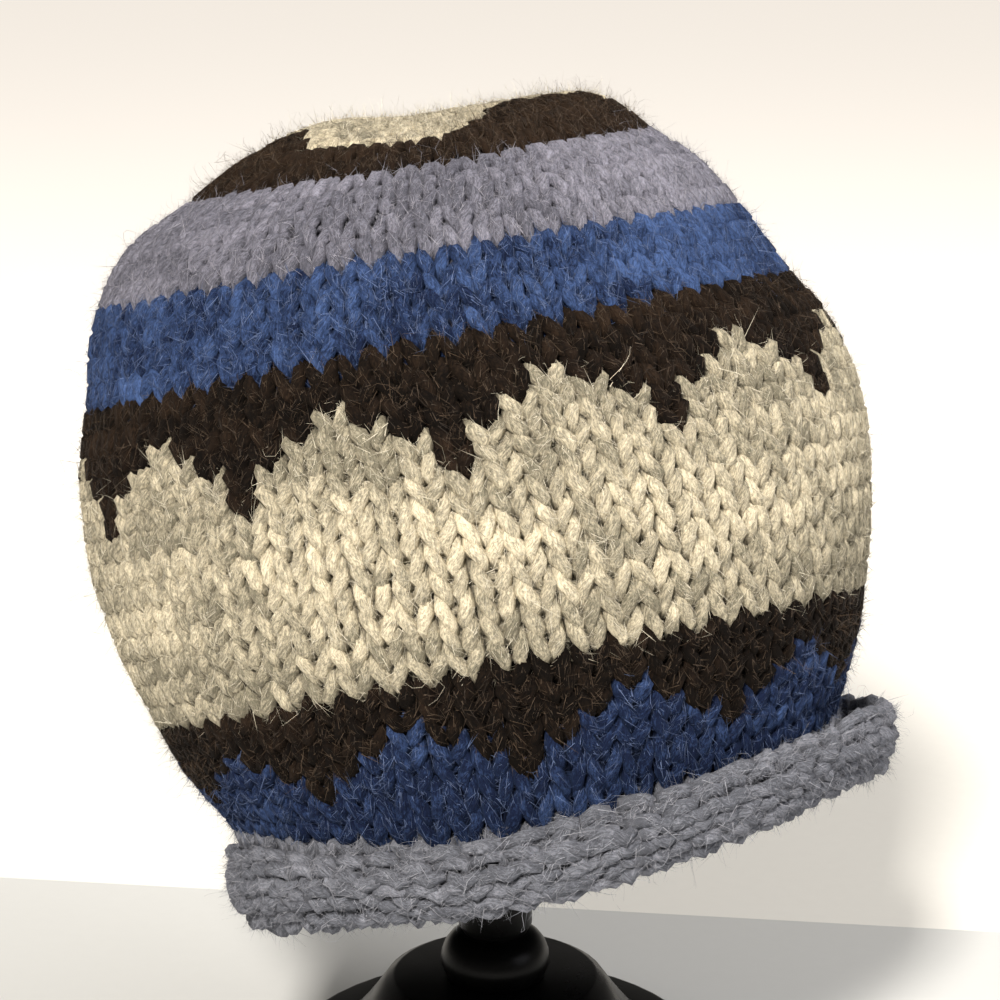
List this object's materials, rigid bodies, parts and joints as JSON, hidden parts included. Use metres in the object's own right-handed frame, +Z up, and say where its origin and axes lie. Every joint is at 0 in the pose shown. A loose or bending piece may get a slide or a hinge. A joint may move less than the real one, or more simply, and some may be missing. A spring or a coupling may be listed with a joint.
{
  "type": "knitted beanie on a round stand",
  "caption": "Hand-knitted wool beanie with a rolled brim, colour stripes and zigzag bands, resting on a plain round display stand.",
  "frame": {"origin": "centre of the flat underside of the stand's foot", "axes": "+Z up, -Y towards the front that the zigzags face, +X to the right seen from the front"},
  "size_m": [0.1917, 0.1903, 0.248],
  "materials": {
    "grey_wool": "soft handspun wool, purl side out, with a light halo of fibres",
    "blue_wool": "soft handspun wool, knit side out, with a light halo of fibres",
    "brown_wool": "soft undyed dark wool, knit side out, with a light halo of fibres",
    "natural_wool": "soft undyed wool, cream with grey patches, knit side out",
    "lavender_wool": "soft handspun wool, knit side out, with a light halo of fibres",
    "black_plastic": "moulded black plastic, satin"
  },
  "bodies": {
    "root": {"rolled_brim": "grey_wool", "brim_inner_leg": "grey_wool", "band_blue_peaks": "blue_wool", "band_brown_lower": "brown_wool", "band_natural": "natural_wool", "band_brown_upper": "brown_wool", "band_blue": "blue_wool", "band_lavender": "lavender_wool", "crown_brown": "brown_wool", "crown_natural": "natural_wool", "stand_base": "black_plastic", "stand_post": "black_plastic"}
  },
  "joints": []
}
